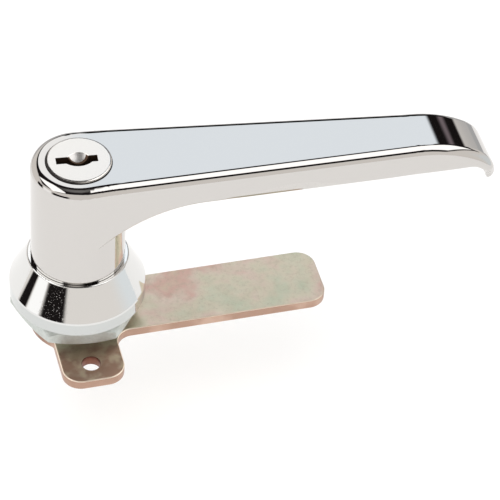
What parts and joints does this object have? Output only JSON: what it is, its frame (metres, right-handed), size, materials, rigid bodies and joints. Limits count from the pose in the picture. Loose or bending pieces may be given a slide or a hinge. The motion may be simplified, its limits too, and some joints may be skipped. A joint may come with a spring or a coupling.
{
  "type": "l-handle cam lock",
  "caption": "Key-locking L-handle latch for a panel door: chromed lever handle on a conical flange, with nut, turning cam plate and rod tab.",
  "frame": {"origin": "centre of the flange's underside, on the turning axis, where the door panel lies", "axes": "+Z out of the door along the spindle, +X along the handle and the cam plate"},
  "size_m": [0.1304, 0.0438, 0.0655],
  "materials": {
    "chrome_plate": "bright polished chrome plate on zinc casting",
    "plug_chrome": "satin chrome plate",
    "zinc_plate": "bright zinc plate on steel",
    "yellow_zinc": "yellow passivated zinc plate, iridescent",
    "spring_steel": "dark spring steel",
    "seal_rubber": "black nitrile rubber",
    "cast_zinc": "bare cast zinc",
    "wafer_brass": "stamped brass"
  },
  "bodies": {
    "housing": {"escutcheon_housing": "chrome_plate", "nut_washer": "zinc_plate", "hex_nut": "zinc_plate"},
    "handle": {"lever_handle": "chrome_plate", "lock_cylinder_body": "cast_zinc", "cylinder_retaining_pin": "spring_steel", "hub_seal": "seal_rubber", "thrust_washer": "zinc_plate", "retaining_ring": "spring_steel", "stop_washer": "yellow_zinc", "cam_plate": "yellow_zinc", "cam_washer": "zinc_plate", "spring_washer": "spring_steel", "cam_screw": "zinc_plate"},
    "plug": {"key_plug": "plug_chrome", "wafer_springs": "spring_steel", "plug_clip": "spring_steel", "bolt_driver": "cast_zinc"},
    "bolt": {"locking_bolt": "spring_steel"},
    "wafer_1": {"wafer_1": "wafer_brass"},
    "wafer_2": {"wafer_2": "wafer_brass"},
    "wafer_3": {"wafer_3": "wafer_brass"},
    "wafer_4": {"wafer_4": "wafer_brass"},
    "wafer_5": {"wafer_5": "wafer_brass"}
  },
  "joints": [
    {"name": "handle_turn", "type": "hinge", "parent": "housing", "child": "handle", "pos_m": [0, 0, 0], "axis": [0, 0, 1], "range_deg": [0, 90]},
    {"name": "plug_turn", "type": "hinge", "parent": "handle", "child": "plug", "pos_m": [0, 0, 0.0463], "axis": [0, 0, 1], "range_deg": [0, 90]},
    {"name": "bolt_slide", "type": "slide", "parent": "handle", "child": "bolt", "axis": [-1, 0, 0], "range_m": [0, 0.00255]},
    {"name": "wafer_1_slide", "type": "slide", "parent": "plug", "child": "wafer_1", "axis": [1, 0, 0], "range_m": [0, 0.0006]},
    {"name": "wafer_2_slide", "type": "slide", "parent": "plug", "child": "wafer_2", "axis": [-1, 0, 0], "range_m": [0, 0.0006]},
    {"name": "wafer_3_slide", "type": "slide", "parent": "plug", "child": "wafer_3", "axis": [1, 0, 0], "range_m": [0, 0.0006]},
    {"name": "wafer_4_slide", "type": "slide", "parent": "plug", "child": "wafer_4", "axis": [-1, 0, 0], "range_m": [0, 0.0006]},
    {"name": "wafer_5_slide", "type": "slide", "parent": "plug", "child": "wafer_5", "axis": [1, 0, 0], "range_m": [0, 0.0006]}
  ],
  "couplings": [
    {"joint": "bolt_slide", "follows": "plug_turn", "m_per_rad": 0.0016206},
    {"joint": "wafer_2_slide", "follows": "wafer_1_slide", "ratio": 1},
    {"joint": "wafer_3_slide", "follows": "wafer_1_slide", "ratio": 1},
    {"joint": "wafer_4_slide", "follows": "wafer_1_slide", "ratio": 1},
    {"joint": "wafer_5_slide", "follows": "wafer_1_slide", "ratio": 1}
  ]
}
